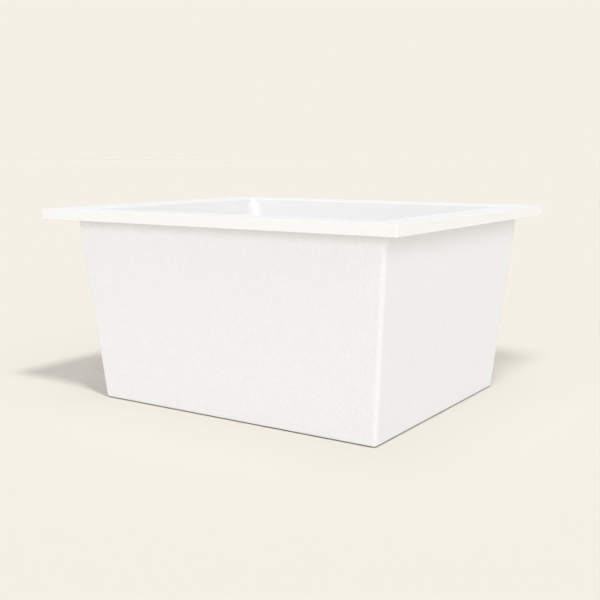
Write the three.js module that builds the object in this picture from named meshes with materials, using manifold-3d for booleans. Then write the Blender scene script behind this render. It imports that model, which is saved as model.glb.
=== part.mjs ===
// A rectangular double-walled wash tub that stands on a bench or drops into a worktop, with its waste and
// a lift-out strainer. Millimetres, +Z up. The origin is on the ground under the middle of the flange, X runs
// along the long side, and the wide ledge of the flange is at -X.

import * as THREE from 'three';
import { mergeVertices } from 'three/addons/utils/BufferGeometryUtils.js';
import Module from 'manifold-3d';

const wasm = await Module();
wasm.setup();

// Flange and overall size
const rimLength = 614;
const rimDepth = 516;
const bodyHeight = 300; // underside of the outer body to the top of the flange
const flangeThickness = 16;
const flangeCornerRadius = 1.6;
const flangeBevel = 0.8;
const ledge = 31; // flange beyond the outer body at the right, front and back
const wideLedge = 44; // flange beyond the outer body at the left

// Outer body
const bodyTaper = 25; // lean of each side, from under the flange down to the base
const bodyCornerRadius = 6.5;
const bodyFootRadius = 6;
const bodyWall = 5;
const bodyFloor = 5;
const wrenchRoom = 16.2; // opening in the base beyond the lock nut

// Basin
const lipInset = 17; // outer face of the body, just under the flange, to the inner lip
const lipRound = 2.5;
const lipCornerRadius = 6;
const shoulderCornerRadius = 20; // at the level of the flange's underside
const basinCornerRadius = 40; // at the cove
const basinWall = 4;
const basinFloor = 9; // thickness at the waste
const floorFall = 4; // from the cove down to the waste
const coveRadius = 30;
const wasteFlat = 6; // level floor beyond the recess of the waste
const grooveDepth = 5; // the outer body's top edge stands in a groove under the flange

// Bearers and pads between and under the shells
const bearerWidth = 36;
const bearerMargin = 16; // bearers' outer faces inside the flat of the basin's underside
const bearerChamfer = 3;
const padRadius = 15;
const padRecess = 2.5;
const padLift = 1; // height of the body's underside over the ground
const padChamfer = 0.8;
const padInset = 38; // pad centre to the two nearest sides of the base

// Waste
const wasteDrop = 3.4; // underside of the body up to the underside of the tail nut
const wasteFlangeReach = 11.5; // flange beyond the thread
const wasteFlangeThickness = 3;
const wasteCupRadius = 41; // inside
const wasteCupDepth = 42;
const wasteWall = 2.5;
const wasteShoulder = 1.2; // steel left under the strainer's rim
const wasteLipWidth = 5.5; // width of that shoulder
const wasteEdge = 1.4; // chamfers of the flange
const wasteCorner = 6; // where the cup turns into its floor
const tailRadius = 19.5; // bore of the tail
const tailWall = 4.4;
const tailLength = 18;
const tailMouth = 2.5; // funnel at the top of the tail
const sealThickness = 1.5;
const floorWasherThickness = 3;
const slipRingThickness = 1;
const lockNutHeight = 10;
const lockNutRing = 14; // radial width without the lugs
const lockNutLug = 4;
const lockNutLugs = 8;
const tailWasherThickness = 2.5;
const tailNutHeight = 18;
const tailNutWall = 5;
const tailNutLip = 2;
const tailNutSides = 8;

// Strainer and plunger
const basketSheet = 1.2;
const basketRoom = 4.4; // underside of the basket over the raised stopper
const basketWallGap = 2; // basket wall to waste cup
const basketCorner = 3;
const floorHoleRadius = 2.2;
const floorHoleRows = [8, 14, 20]; // holes in each row, from the hub out
const wallSlotCount = 20;
const wallSlotWidth = 3;
const postRadius = 3;
const postTip = 1.5; // post below its nut
const hubRadius = 8;
const hubHeight = 3.4;
const hubRingWidth = 1.7; // rubber ring that grips the post
const hubRingHeight = 1.8;
const knobRadius = 9;
const knobHeight = 15;
const knobBase = -8; // knob's foot from the underside of the waste flange
const stopperThickness = 5;
const stopperOverlap = 5; // stopper beyond the mouth of the tail
const stopperEdge = 1.5;
const plungerTravel = 8;
const postNutRadius = 5.5;
const postNutHeight = 4;
const postNutSides = 6;

// Clearances
const restGap = 0.3; // between pieces that rest on each other
const jointGap = 0.4; // each side of the body's edge in its groove
const threadGap = 0.3; // nut to thread, on the radius
const holeGap = 1; // waste to its hole, on the radius
const seatGap = 0.5; // round pieces in a round recess, on the radius
const slideGap = 0.4; // post in its hub, on the radius

// Fineness of the facets
const cornerSteps = 6;
const roundSteps = 40;

// Radii of the waste
const threadRadius = wasteCupRadius + wasteWall;
const tailThreadRadius = tailRadius + tailWall;
const wasteFlangeRadius = threadRadius + wasteFlangeReach;
const lockNutInner = threadRadius + threadGap;
const lockNutOuter = lockNutInner + lockNutRing;
const accessRadius = lockNutOuter + lockNutLug + wrenchRoom;
const basketRadius = wasteCupRadius - basketWallGap;

// Levels in the waste and strainer, from the underside of the waste flange
const tailEndZ = -wasteCupDepth - wasteWall - tailLength;
const tailWasherZ = tailEndZ - restGap - tailWasherThickness;
const tailNutZ = tailWasherZ - restGap - tailNutLip;
const stopperZ = -wasteCupDepth + restGap;
const basketFloorZ = stopperZ + stopperThickness + plungerTravel + basketRoom;
const hubTopZ = basketFloorZ + basketSheet + hubHeight;
const hubSeatZ = hubTopZ - hubRingHeight - restGap;

// Levels from the ground
const baseZ = padLift;
const rimTopZ = baseZ + bodyHeight;
const flangeUnderZ = rimTopZ - flangeThickness;
const wasteZ = baseZ + wasteDrop - tailNutZ;
const basinFloorZ = wasteZ + wasteFlangeThickness;
const basinUnderZ = basinFloorZ - basinFloor;

// Plans, as the four sides of a rectangle
const rimPlan = { left: -rimLength / 2, right: rimLength / 2, front: -rimDepth / 2, back: rimDepth / 2 };
const bodyTopPlan = {
  left: rimPlan.left + wideLedge,
  right: rimPlan.right - ledge,
  front: rimPlan.front + ledge,
  back: rimPlan.back - ledge,
};
const lipPlan = grow(bodyTopPlan, -lipInset);
const bodyCentreX = (bodyTopPlan.left + bodyTopPlan.right) / 2;
const lean = bodyTaper / (flangeUnderZ - baseZ); // sideways for each millimetre down
const leanAngle = Math.atan(lean);

const finishes = {
  basin: finish(0xf3f3f1, 0.28, 0),
  body: finish(0xefefec, 0.62, 0),
  bearer: finish(0xd9d8d2, 0.9, 0),
  rubber: finish(0x2b2c2e, 0.85, 0),
  steel: finish(0xc4c6c8, 0.3, 1),
  nylon: finish(0xd8d8d4, 0.55, 0),
};

// A material from its colour, roughness and metalness.
function finish(color, roughness, metalness) {
  return new THREE.MeshStandardMaterial({ color, roughness, metalness });
}

// A plan with each side moved out by the same distance.
function grow(plan, by) {
  return { left: plan.left - by, right: plan.right + by, front: plan.front - by, back: plan.back + by };
}

// The plan of the outer body's outer face at a height.
function bodyPlanAt(z) {
  return grow(bodyTopPlan, (z - flangeUnderZ) * lean);
}

// The plan of the basin's inner face at a height.
function basinPlanAt(z) {
  return grow(lipPlan, (z - rimTopZ) * lean);
}

// One level ring of a rounded rectangle, with the same number of points whatever its radius.
function ring(plan, radius, z) {
  const r = Math.max(radius, 0.2);
  const centres = [
    [plan.right - r, plan.back - r],
    [plan.left + r, plan.back - r],
    [plan.left + r, plan.front + r],
    [plan.right - r, plan.front + r],
  ];
  return centres.flatMap(([x, y], corner) => {
    const arc = [];
    for (let step = 0; step <= cornerSteps; step += 1) {
      const angle = (corner + step / cornerSteps) * Math.PI / 2;
      arc.push([x + r * Math.cos(angle), y + r * Math.sin(angle), z]);
    }
    return arc;
  });
}

// A closed solid through a run of rings, with a flat end on the first and the last.
function loft(rings) {
  const count = rings[0].length;
  const faces = [];
  for (let level = 1; level < rings.length; level += 1) {
    for (let i = 0; i < count; i += 1) {
      const next = (i + 1) % count;
      const low = (level - 1) * count;
      const high = level * count;
      faces.push(low + i, low + next, high + next, low + i, high + next, high + i);
    }
  }
  const last = (rings.length - 1) * count;
  for (let i = 2; i < count; i += 1) {
    faces.push(0, i, i - 1, last, last + i - 1, last + i);
  }
  const geometry = new THREE.BufferGeometry();
  geometry.setAttribute('position', new THREE.Float32BufferAttribute(rings.flat(2), 3));
  geometry.setIndex(faces);
  return weld(geometry);
}

// The same solid with shared vertices, no empty triangles, and its faces pointing out.
function weld(geometry) {
  const bare = geometry.clone();
  bare.deleteAttribute('normal');
  bare.deleteAttribute('uv');
  const merged = mergeVertices(bare, 1e-4);
  const faces = [];
  let volume = 0;
  const [a, b, c] = [new THREE.Vector3(), new THREE.Vector3(), new THREE.Vector3()];
  for (let i = 0; i < merged.index.count; i += 3) {
    const triangle = [0, 1, 2].map((k) => merged.index.getX(i + k));
    if (new Set(triangle).size === 3) {
      faces.push(triangle);
      [a, b, c].forEach((point, k) => point.fromBufferAttribute(merged.attributes.position, triangle[k]));
      volume += a.dot(b.cross(c));
    }
  }
  merged.setIndex(faces.flatMap(([i, j, k]) => (volume > 0 ? [i, j, k] : [i, k, j])));
  return merged;
}

// A round solid from an outline of [radius, height] points, which starts and ends on the axis or is a loop.
function turned(outline, steps = roundSteps) {
  const onAxis = outline[0][0] === 0;
  const points = onAxis ? outline : [...outline, outline[0]];
  return weld(new THREE.LatheGeometry(points.map(([r, z]) => new THREE.Vector2(r, z)), steps)
    .rotateX(Math.PI / 2));
}

// A plain washer or disc with its lower face at height zero.
function washer(innerRadius, outerRadius, thickness) {
  return turned([[innerRadius, 0], [outerRadius, 0], [outerRadius, thickness], [innerRadius, thickness]]);
}

// A solid cylinder between two heights.
function rod(radius, low, high, steps = roundSteps) {
  return turned([[0, low], [radius, low], [radius, high], [0, high]], steps);
}

// An upright prism from a shape, with its lower face at height zero.
function prism(shape, height) {
  const options = { depth: height, bevelEnabled: false, curveSegments: roundSteps };
  return weld(new THREE.ExtrudeGeometry(shape, options));
}

function toSolid(geometry) {
  const vertProperties = new Float32Array(geometry.attributes.position.array);
  const triVerts = new Uint32Array(geometry.index.array);
  return new wasm.Manifold(new wasm.Mesh({ numProp: 3, vertProperties, triVerts }));
}

// The first solid with all the others cut out of it.
function cut(geometry, cutters) {
  const result = cutters.reduce((solid, cutter) => solid.subtract(toSolid(cutter)), toSolid(geometry));
  const mesh = result.getMesh();
  const out = new THREE.BufferGeometry();
  out.setAttribute('position', new THREE.BufferAttribute(new Float32Array(mesh.vertProperties), 3));
  out.setIndex([...mesh.triVerts]);
  return weld(out);
}

// A named mesh with its place in its parent group.
function piece(name, geometry, material, [x, y, z] = [0, 0, 0]) {
  const mesh = new THREE.Mesh(geometry, material);
  mesh.name = name;
  mesh.position.set(x, y, z);
  return mesh;
}

// The basin's corner radius beside the flange, which opens from the lip's tight corner.
function shoulderCornerAt(z) {
  const depth = (rimTopZ - lipRound - z) / (flangeThickness - lipRound);
  const share = THREE.MathUtils.smoothstep(depth, 0, 1);
  return THREE.MathUtils.lerp(lipCornerRadius, shoulderCornerRadius, share);
}

// Rings of the basin's inside, from the flat at the waste up to the lip.
function basinInside() {
  const coveFootZ = basinFloorZ + floorFall;
  const wallFootZ = coveFootZ + coveRadius * (1 - Math.sin(leanAngle));
  const wallFoot = basinPlanAt(wallFootZ);
  const seat = wasteFlangeRadius + seatGap + wasteFlat;
  const flat = { left: bodyCentreX - seat, right: bodyCentreX + seat, front: -seat, back: seat };
  const rings = [ring(flat, wasteFlangeRadius, basinFloorZ)];
  for (let step = cornerSteps; step >= 0; step -= 1) {
    const angle = THREE.MathUtils.lerp(leanAngle, Math.PI / 2, step / cornerSteps);
    const inset = coveRadius * (Math.cos(leanAngle) - Math.cos(angle));
    const z = coveFootZ + coveRadius * (1 - Math.sin(angle));
    rings.push(ring(grow(wallFoot, -inset), basinCornerRadius - inset, z));
  }
  for (let step = cornerSteps; step >= 0; step -= 1) {
    const z = rimTopZ - lipRound - (flangeThickness - lipRound) * step / cornerSteps;
    rings.push(ring(basinPlanAt(z), shoulderCornerAt(z), z));
  }
  const lip = basinPlanAt(rimTopZ - lipRound);
  [Math.PI / 4, Math.PI / 2].forEach((angle) => {
    const out = lipRound * (1 - Math.cos(angle));
    rings.push(ring(grow(lip, out), lipCornerRadius + out, rimTopZ - lipRound * (1 - Math.sin(angle))));
  });
  return rings;
}

// Rings of the flange, from its top edge round to its underside, with the groove for the outer body.
function flangeRings() {
  const grooveTopZ = flangeUnderZ + grooveDepth + restGap;
  const bevelled = grow(rimPlan, -flangeBevel);
  const tight = flangeCornerRadius - flangeBevel;
  const grooveEdge = (z, side) => {
    const offset = side > 0 ? jointGap : -bodyWall - jointGap;
    return ring(grow(bodyPlanAt(z), offset), bodyCornerRadius + offset, z);
  };
  return [
    ring(bevelled, tight, rimTopZ),
    ring(rimPlan, flangeCornerRadius, rimTopZ - flangeBevel),
    ring(rimPlan, flangeCornerRadius, flangeUnderZ + flangeBevel),
    ring(bevelled, tight, flangeUnderZ),
    grooveEdge(flangeUnderZ, 1),
    grooveEdge(grooveTopZ, 1),
    grooveEdge(grooveTopZ, -1),
    grooveEdge(flangeUnderZ, -1),
  ];
}

// Rings of the basin's outside, from under the flange down to its flat underside.
function basinOutside() {
  const outer = (z) => grow(basinPlanAt(z), basinWall);
  const radius = basinCornerRadius + basinWall;
  const wallFootZ = basinUnderZ + coveRadius * (1 - Math.sin(leanAngle));
  const rings = [ring(outer(flangeUnderZ), shoulderCornerRadius + basinWall, flangeUnderZ)];
  for (let step = 0; step <= cornerSteps; step += 1) {
    const angle = THREE.MathUtils.lerp(leanAngle, Math.PI / 2, step / cornerSteps);
    const inset = coveRadius * (Math.cos(leanAngle) - Math.cos(angle));
    const z = basinUnderZ + coveRadius * (1 - Math.sin(angle));
    rings.push(ring(grow(outer(wallFootZ), -inset), radius - inset, z));
  }
  return rings;
}

// The waste's hole and the round recess that its seal and flange lie in.
function wasteHole() {
  const recessZ = wasteZ - sealThickness - 2 * restGap;
  const holeRadius = threadRadius + holeGap;
  const recessRadius = wasteFlangeRadius + seatGap;
  const above = basinFloorZ + 2 * floorFall;
  const below = basinUnderZ - 1;
  return turned([
    [0, below], [holeRadius, below], [holeRadius, recessZ], [recessRadius, recessZ],
    [recessRadius, above], [0, above],
  ]).translate(bodyCentreX, 0, 0);
}

function makeBasin() {
  const shell = loft([...basinInside(), ...flangeRings(), ...basinOutside()]);
  return piece('basin', cut(shell, [wasteHole()]), finishes.basin);
}

// Places of the four pads, by name.
function padPlaces() {
  const base = grow(bodyPlanAt(baseZ), -padInset);
  return [
    ['front_left', base.left, base.front],
    ['front_right', base.right, base.front],
    ['back_left', base.left, base.back],
    ['back_right', base.right, base.back],
  ];
}

function makeOuterBody() {
  const topZ = flangeUnderZ + grooveDepth;
  const footZ = baseZ + bodyFootRadius * (1 - Math.sin(leanAngle));
  const rings = [];
  for (let step = cornerSteps; step >= 0; step -= 1) {
    const angle = THREE.MathUtils.lerp(leanAngle, Math.PI / 2, step / cornerSteps);
    const inset = bodyFootRadius * (Math.cos(leanAngle) - Math.cos(angle));
    const z = baseZ + bodyFootRadius * (1 - Math.sin(angle));
    rings.push(ring(grow(bodyPlanAt(footZ), -inset), bodyCornerRadius - inset, z));
  }
  rings.push(ring(bodyPlanAt(topZ), bodyCornerRadius, topZ));
  [topZ, baseZ + bodyFloor].forEach((z) => {
    rings.push(ring(grow(bodyPlanAt(z), -bodyWall), bodyCornerRadius - bodyWall, z));
  });
  const access = rod(accessRadius, baseZ - 1, baseZ + bodyFloor + 1).translate(bodyCentreX, 0, 0);
  const recesses = padPlaces().map(([, x, y]) => (
    rod(padRadius + seatGap, baseZ - 1, baseZ + padRecess, roundSteps / 2).translate(x, y, 0)
  ));
  return piece('outer_body', cut(loft(rings), [access, ...recesses]), finishes.body);
}

function makePads() {
  const top = baseZ + padRecess - restGap;
  const outline = [[0, 0], [padRadius - padChamfer, 0], [padRadius, padChamfer], [padRadius, top], [0, top]];
  return padPlaces().map(([place, x, y]) => (
    piece(`${place}_pad`, turned(outline, roundSteps / 2), finishes.rubber, [x, y, 0])
  ));
}

// A block with chamfered upright corners, from the outer body's floor to the basin's underside.
function bearerBlock(plan) {
  const c = bearerChamfer;
  const shape = new THREE.Shape();
  shape.moveTo(plan.left + c, plan.front);
  shape.lineTo(plan.right - c, plan.front);
  shape.lineTo(plan.right, plan.front + c);
  shape.lineTo(plan.right, plan.back - c);
  shape.lineTo(plan.right - c, plan.back);
  shape.lineTo(plan.left + c, plan.back);
  shape.lineTo(plan.left, plan.back - c);
  shape.lineTo(plan.left, plan.front + c);
  const low = baseZ + bodyFloor + restGap;
  return prism(shape, basinUnderZ - restGap - low).translate(0, 0, low);
}

// Four bearers in a frame round the waste, with the long ones at the front and back.
function makeBearers() {
  const wallFootZ = basinUnderZ + coveRadius * (1 - Math.sin(leanAngle));
  const underside = grow(basinPlanAt(wallFootZ), basinWall - coveRadius * Math.cos(leanAngle));
  const outer = grow(underside, -bearerMargin);
  const inner = grow(outer, -bearerWidth);
  const between = grow(inner, -restGap);
  const plans = {
    front_bearer: { ...outer, back: inner.front },
    back_bearer: { ...outer, front: inner.back },
    left_bearer: { left: outer.left, right: inner.left, front: between.front, back: between.back },
    right_bearer: { left: inner.right, right: outer.right, front: between.front, back: between.back },
  };
  return Object.entries(plans).map(([name, plan]) => piece(name, bearerBlock(plan), finishes.bearer));
}

// The waste's heights here and below are from the underside of its flange.
function wasteBodyGeometry() {
  const t = wasteWall;
  const top = wasteFlangeThickness;
  const lipRadius = wasteCupRadius + wasteLipWidth;
  const floorZ = -wasteCupDepth;
  const draught = 1; // the cup narrows this much towards its floor
  return turned([
    [threadRadius, 0],
    [wasteFlangeRadius, 0],
    [wasteFlangeRadius, top * 0.5],
    [wasteFlangeRadius - wasteEdge, top],
    [lipRadius + wasteEdge, top],
    [lipRadius, top - wasteEdge],
    [lipRadius, wasteShoulder],
    [wasteCupRadius, wasteShoulder],
    [wasteCupRadius - draught, floorZ + wasteCorner],
    [wasteCupRadius - draught - wasteCorner * 0.3, floorZ + wasteCorner * 0.3],
    [wasteCupRadius - draught - wasteCorner, floorZ],
    [tailRadius + tailMouth, floorZ],
    [tailRadius, floorZ - t],
    [tailRadius, tailEndZ],
    [tailThreadRadius, tailEndZ],
    [tailThreadRadius, floorZ - t],
    [wasteCupRadius - wasteCorner, floorZ - t],
    [threadRadius, floorZ + wasteCorner],
  ]);
}

function lockNutGeometry() {
  const shape = new THREE.Shape();
  const points = [];
  const tip = lockNutOuter + lockNutLug;
  for (let lug = 0; lug < lockNutLugs; lug += 1) {
    [[0.0, lockNutOuter], [0.2, lockNutOuter], [0.45, tip], [0.8, tip]].forEach(([part, r]) => {
      const angle = (lug + part) * 2 * Math.PI / lockNutLugs;
      points.push(new THREE.Vector2(r * Math.cos(angle), r * Math.sin(angle)));
    });
  }
  shape.setFromPoints(points);
  shape.holes.push(new THREE.Path().absarc(0, 0, lockNutInner, 0, 2 * Math.PI, true));
  return prism(shape, lockNutHeight);
}

// An eight-sided nut that holds its washer against the end of the tail.
function tailNutGeometry() {
  const inner = tailThreadRadius + threadGap;
  const body = rod(inner + tailNutWall, 0, tailNutHeight, tailNutSides);
  const bore = turned([
    [0, -1], [tailRadius, -1], [tailRadius, tailNutLip], [inner, tailNutLip],
    [inner, tailNutHeight + 1], [0, tailNutHeight + 1],
  ]);
  return cut(body, [bore]);
}

function makeWaste() {
  const sealInner = threadRadius + holeGap;
  const sealZ = -restGap - sealThickness;
  const washerZ = basinUnderZ - wasteZ - restGap - floorWasherThickness;
  const slipZ = washerZ - restGap - slipRingThickness;
  const lockZ = slipZ - restGap - lockNutHeight;
  const seal = washer(sealInner, wasteFlangeRadius - seatGap, sealThickness);
  const floorWasher = washer(sealInner, lockNutOuter, floorWasherThickness);
  const slipRing = washer(sealInner, lockNutOuter, slipRingThickness);
  const tailWasher = washer(tailRadius, tailThreadRadius, tailWasherThickness);
  const group = new THREE.Group();
  group.position.set(bodyCentreX, 0, wasteZ);
  group.add(
    piece('waste_body', wasteBodyGeometry(), finishes.steel),
    piece('waste_seal', seal, finishes.rubber, [0, 0, sealZ]),
    piece('floor_washer', floorWasher, finishes.rubber, [0, 0, washerZ]),
    piece('slip_ring', slipRing, finishes.nylon, [0, 0, slipZ]),
    piece('lock_nut', lockNutGeometry(), finishes.nylon, [0, 0, lockZ]),
    piece('tail_washer', tailWasher, finishes.rubber, [0, 0, tailWasherZ]),
    piece('tail_nut', tailNutGeometry(), finishes.nylon, [0, 0, tailNutZ]),
  );
  return group;
}

// Round holes through the basket's floor, as short upright rods in rows on circles.
function floorHoles() {
  const hole = rod(floorHoleRadius, basketFloorZ - basketSheet, basketFloorZ + 2 * basketSheet, 8);
  const span = basketRadius - basketSheet - basketCorner - hubRadius;
  return floorHoleRows.flatMap((count, row) => {
    const rowRadius = hubRadius + span * (row + 0.5) / floorHoleRows.length;
    return Array.from({ length: count }, (_, i) => (
      hole.clone().translate(rowRadius, 0, 0).rotateZ(2 * Math.PI * i / count)
    ));
  });
}

// Upright slots through the basket's wall, as boxes on a circle.
function wallSlots(radius, low, high) {
  const slot = weld(new THREE.BoxGeometry(4 * basketSheet, wallSlotWidth, high - low));
  return Array.from({ length: wallSlotCount }, (_, i) => (
    slot.clone().translate(radius, 0, (low + high) / 2).rotateZ(2 * Math.PI * (i + 0.5) / wallSlotCount)
  ));
}

function basketGeometry() {
  const outer = basketRadius;
  const inner = outer - basketSheet;
  const rim = wasteCupRadius + wasteLipWidth - seatGap;
  const rimZ = wasteShoulder + restGap;
  const floorTopZ = basketFloorZ + basketSheet;
  const bore = postRadius + slideGap;
  const hubBore = bore + hubRingWidth;
  const shell = turned([
    [bore, basketFloorZ], [outer - basketCorner, basketFloorZ], [outer, basketFloorZ + basketCorner],
    [outer, rimZ], [rim, rimZ], [rim, rimZ + basketSheet], [inner, rimZ + basketSheet],
    [inner, floorTopZ + basketCorner], [inner - basketCorner, floorTopZ], [hubRadius, floorTopZ],
    [hubRadius, hubTopZ - 1], [hubRadius - 1, hubTopZ], [hubBore, hubTopZ], [hubBore, hubSeatZ],
    [bore, hubSeatZ],
  ]);
  const slots = wallSlots((outer + inner) / 2, floorTopZ + 2 * basketCorner, rimZ - basketCorner);
  return cut(shell, [...floorHoles(), ...slots]);
}

function makeBasket() {
  const ringInner = postRadius + restGap;
  const hubRing = washer(ringInner, ringInner + hubRingWidth - restGap, hubRingHeight);
  const group = new THREE.Group();
  group.add(
    piece('strainer_basket', basketGeometry(), finishes.steel),
    piece('hub_ring', hubRing, finishes.rubber, [0, 0, hubSeatZ + restGap]),
  );
  return group;
}

// The plunger is pushed down, with its stopper on the mouth of the tail.
function makePlunger() {
  const stopperRadius = tailRadius + tailMouth + stopperOverlap;
  const neck = postRadius + restGap;
  const postNutZ = stopperZ - restGap - postNutHeight;
  const postTop = knobBase + knobHeight / 2;
  const stopper = turned([
    [neck, 0], [stopperRadius - stopperEdge, 0], [stopperRadius, stopperEdge],
    [stopperRadius, stopperThickness - stopperEdge], [stopperRadius - stopperEdge, stopperThickness],
    [neck, stopperThickness],
  ]);
  const post = rod(postRadius, postNutZ - postTip, postTop, roundSteps / 2);
  const socket = knobHeight / 2 + restGap;
  const knob = turned([
    [0, socket], [neck, socket], [neck, 0], [postRadius + 2, 0], [postRadius + 1.2, knobHeight * 0.27],
    [knobRadius * 0.83, knobHeight * 0.53], [knobRadius, knobHeight * 0.7],
    [knobRadius * 0.9, knobHeight * 0.87], [knobRadius * 0.55, knobHeight * 0.97], [0, knobHeight],
  ], roundSteps / 2);
  const nutBore = rod(neck, -1, postNutHeight + 1, roundSteps / 2);
  const nut = cut(rod(postNutRadius, 0, postNutHeight, postNutSides), [nutBore]);
  const group = new THREE.Group();
  group.add(
    piece('strainer_post', post, finishes.steel),
    piece('strainer_knob', knob, finishes.steel, [0, 0, knobBase]),
    piece('stopper', stopper, finishes.rubber, [0, 0, stopperZ]),
    piece('post_nut', nut, finishes.steel, [0, 0, postNutZ]),
  );
  return group;
}

function makeStrainer() {
  const group = new THREE.Group();
  group.position.set(bodyCentreX, 0, wasteZ);
  group.add(makeBasket(), makePlunger());
  return group;
}

const washTub = new THREE.Group();
washTub.add(makeBasin(), makeOuterBody(), ...makeBearers(), ...makePads(), makeWaste(), makeStrainer());

export default washTub;
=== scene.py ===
"""A double-walled wash tub with its waste and lift-out strainer, on a pale studio floor.

Lengths are in metres, +Z is up, and the origin is on the ground under the middle of the flange. The wide
ledge of the flange is at -X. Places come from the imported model's nodes, and each class holds its own sizes.
"""

import logging
import math
from dataclasses import dataclass, field
from enum import Enum

import bmesh
import bpy
from bmesh.types import BMEdge, BMesh, BMVert
from mathutils import Matrix, Vector


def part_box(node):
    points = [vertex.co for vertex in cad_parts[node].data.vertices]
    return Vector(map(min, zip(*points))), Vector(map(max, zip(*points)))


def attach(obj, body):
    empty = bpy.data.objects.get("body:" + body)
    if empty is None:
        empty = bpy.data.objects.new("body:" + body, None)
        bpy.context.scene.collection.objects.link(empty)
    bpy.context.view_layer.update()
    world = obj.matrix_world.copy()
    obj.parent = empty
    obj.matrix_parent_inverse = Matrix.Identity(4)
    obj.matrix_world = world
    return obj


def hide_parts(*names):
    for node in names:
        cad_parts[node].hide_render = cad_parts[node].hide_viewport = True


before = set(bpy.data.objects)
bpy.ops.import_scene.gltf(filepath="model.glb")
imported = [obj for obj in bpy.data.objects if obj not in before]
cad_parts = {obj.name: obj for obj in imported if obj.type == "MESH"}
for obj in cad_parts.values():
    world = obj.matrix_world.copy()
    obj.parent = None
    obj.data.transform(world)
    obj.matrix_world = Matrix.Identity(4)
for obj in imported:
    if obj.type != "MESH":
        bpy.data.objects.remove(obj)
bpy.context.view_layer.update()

log = logging.getLogger("wash_tub")

FULL_TURN = 2 * math.pi
RIGHT_ANGLE = math.pi / 2
MERGE_DISTANCE = 1e-6
ROUND_CREASE = math.radians(38)
FACETED_CREASE = math.radians(25)
SAME_DIRECTION = 0.99  # the least cosine between two directions that count as one


class Body(Enum):
    """The bodies that the pieces ride on."""

    TUB = "tub"
    STRAINER = "strainer"
    PLUNGER = "plunger"


class Slot(Enum):
    """The record's material slots."""

    BASIN = "basin_gloss"
    OUTER_BODY = "body_grain"
    BEARER = "bearer_foam"
    PAD = "pad_rubber"
    SEAL = "seal_rubber"
    NUT = "nut_nylon"
    WASTE = "waste_steel"
    STRAINER = "strainer_steel"


# Places


@dataclass(frozen=True)
class Plan:
    """The four sides of a level rectangle.

    Attributes:
        left: The side towards -X.
        right: The side towards +X.
        front: The side towards -Y.
        back: The side towards +Y.
    """

    left: float
    right: float
    front: float
    back: float

    @classmethod
    def of(cls, node: str) -> "Plan":
        """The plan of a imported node's box."""
        low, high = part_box(node)
        return cls(low.x, high.x, low.y, high.y)

    def grown(self, by: float) -> "Plan":
        """The plan with each side moved out by the same distance."""
        return Plan(self.left - by, self.right + by, self.front - by, self.back + by)


@dataclass(frozen=True)
class Seat:
    """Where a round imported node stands.

    Attributes:
        x: The axis across.
        y: The axis in depth.
        low: The lowest level.
        high: The highest level.
        radius: The outer radius.
    """

    x: float
    y: float
    low: float
    high: float
    radius: float

    @classmethod
    def of(cls, node: str) -> "Seat":
        """Reads the seat from a node's box.

        Args:
            node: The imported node's name.

        Returns:
            The seat.
        """
        low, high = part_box(node)
        radius = max(high.x - low.x, high.y - low.y) / 2
        return cls((low.x + high.x) / 2, (low.y + high.y) / 2, low.z, high.z, radius)


# Shapes


def face_out(mesh: BMesh) -> None:
    """Turns all the faces of a mesh outwards.

    Args:
        mesh: A closed mesh.
    """
    bmesh.ops.recalc_face_normals(mesh, faces=mesh.faces[:])
    if mesh.calc_volume(signed=True) < 0:
        bmesh.ops.reverse_faces(mesh, faces=mesh.faces[:])


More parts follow.
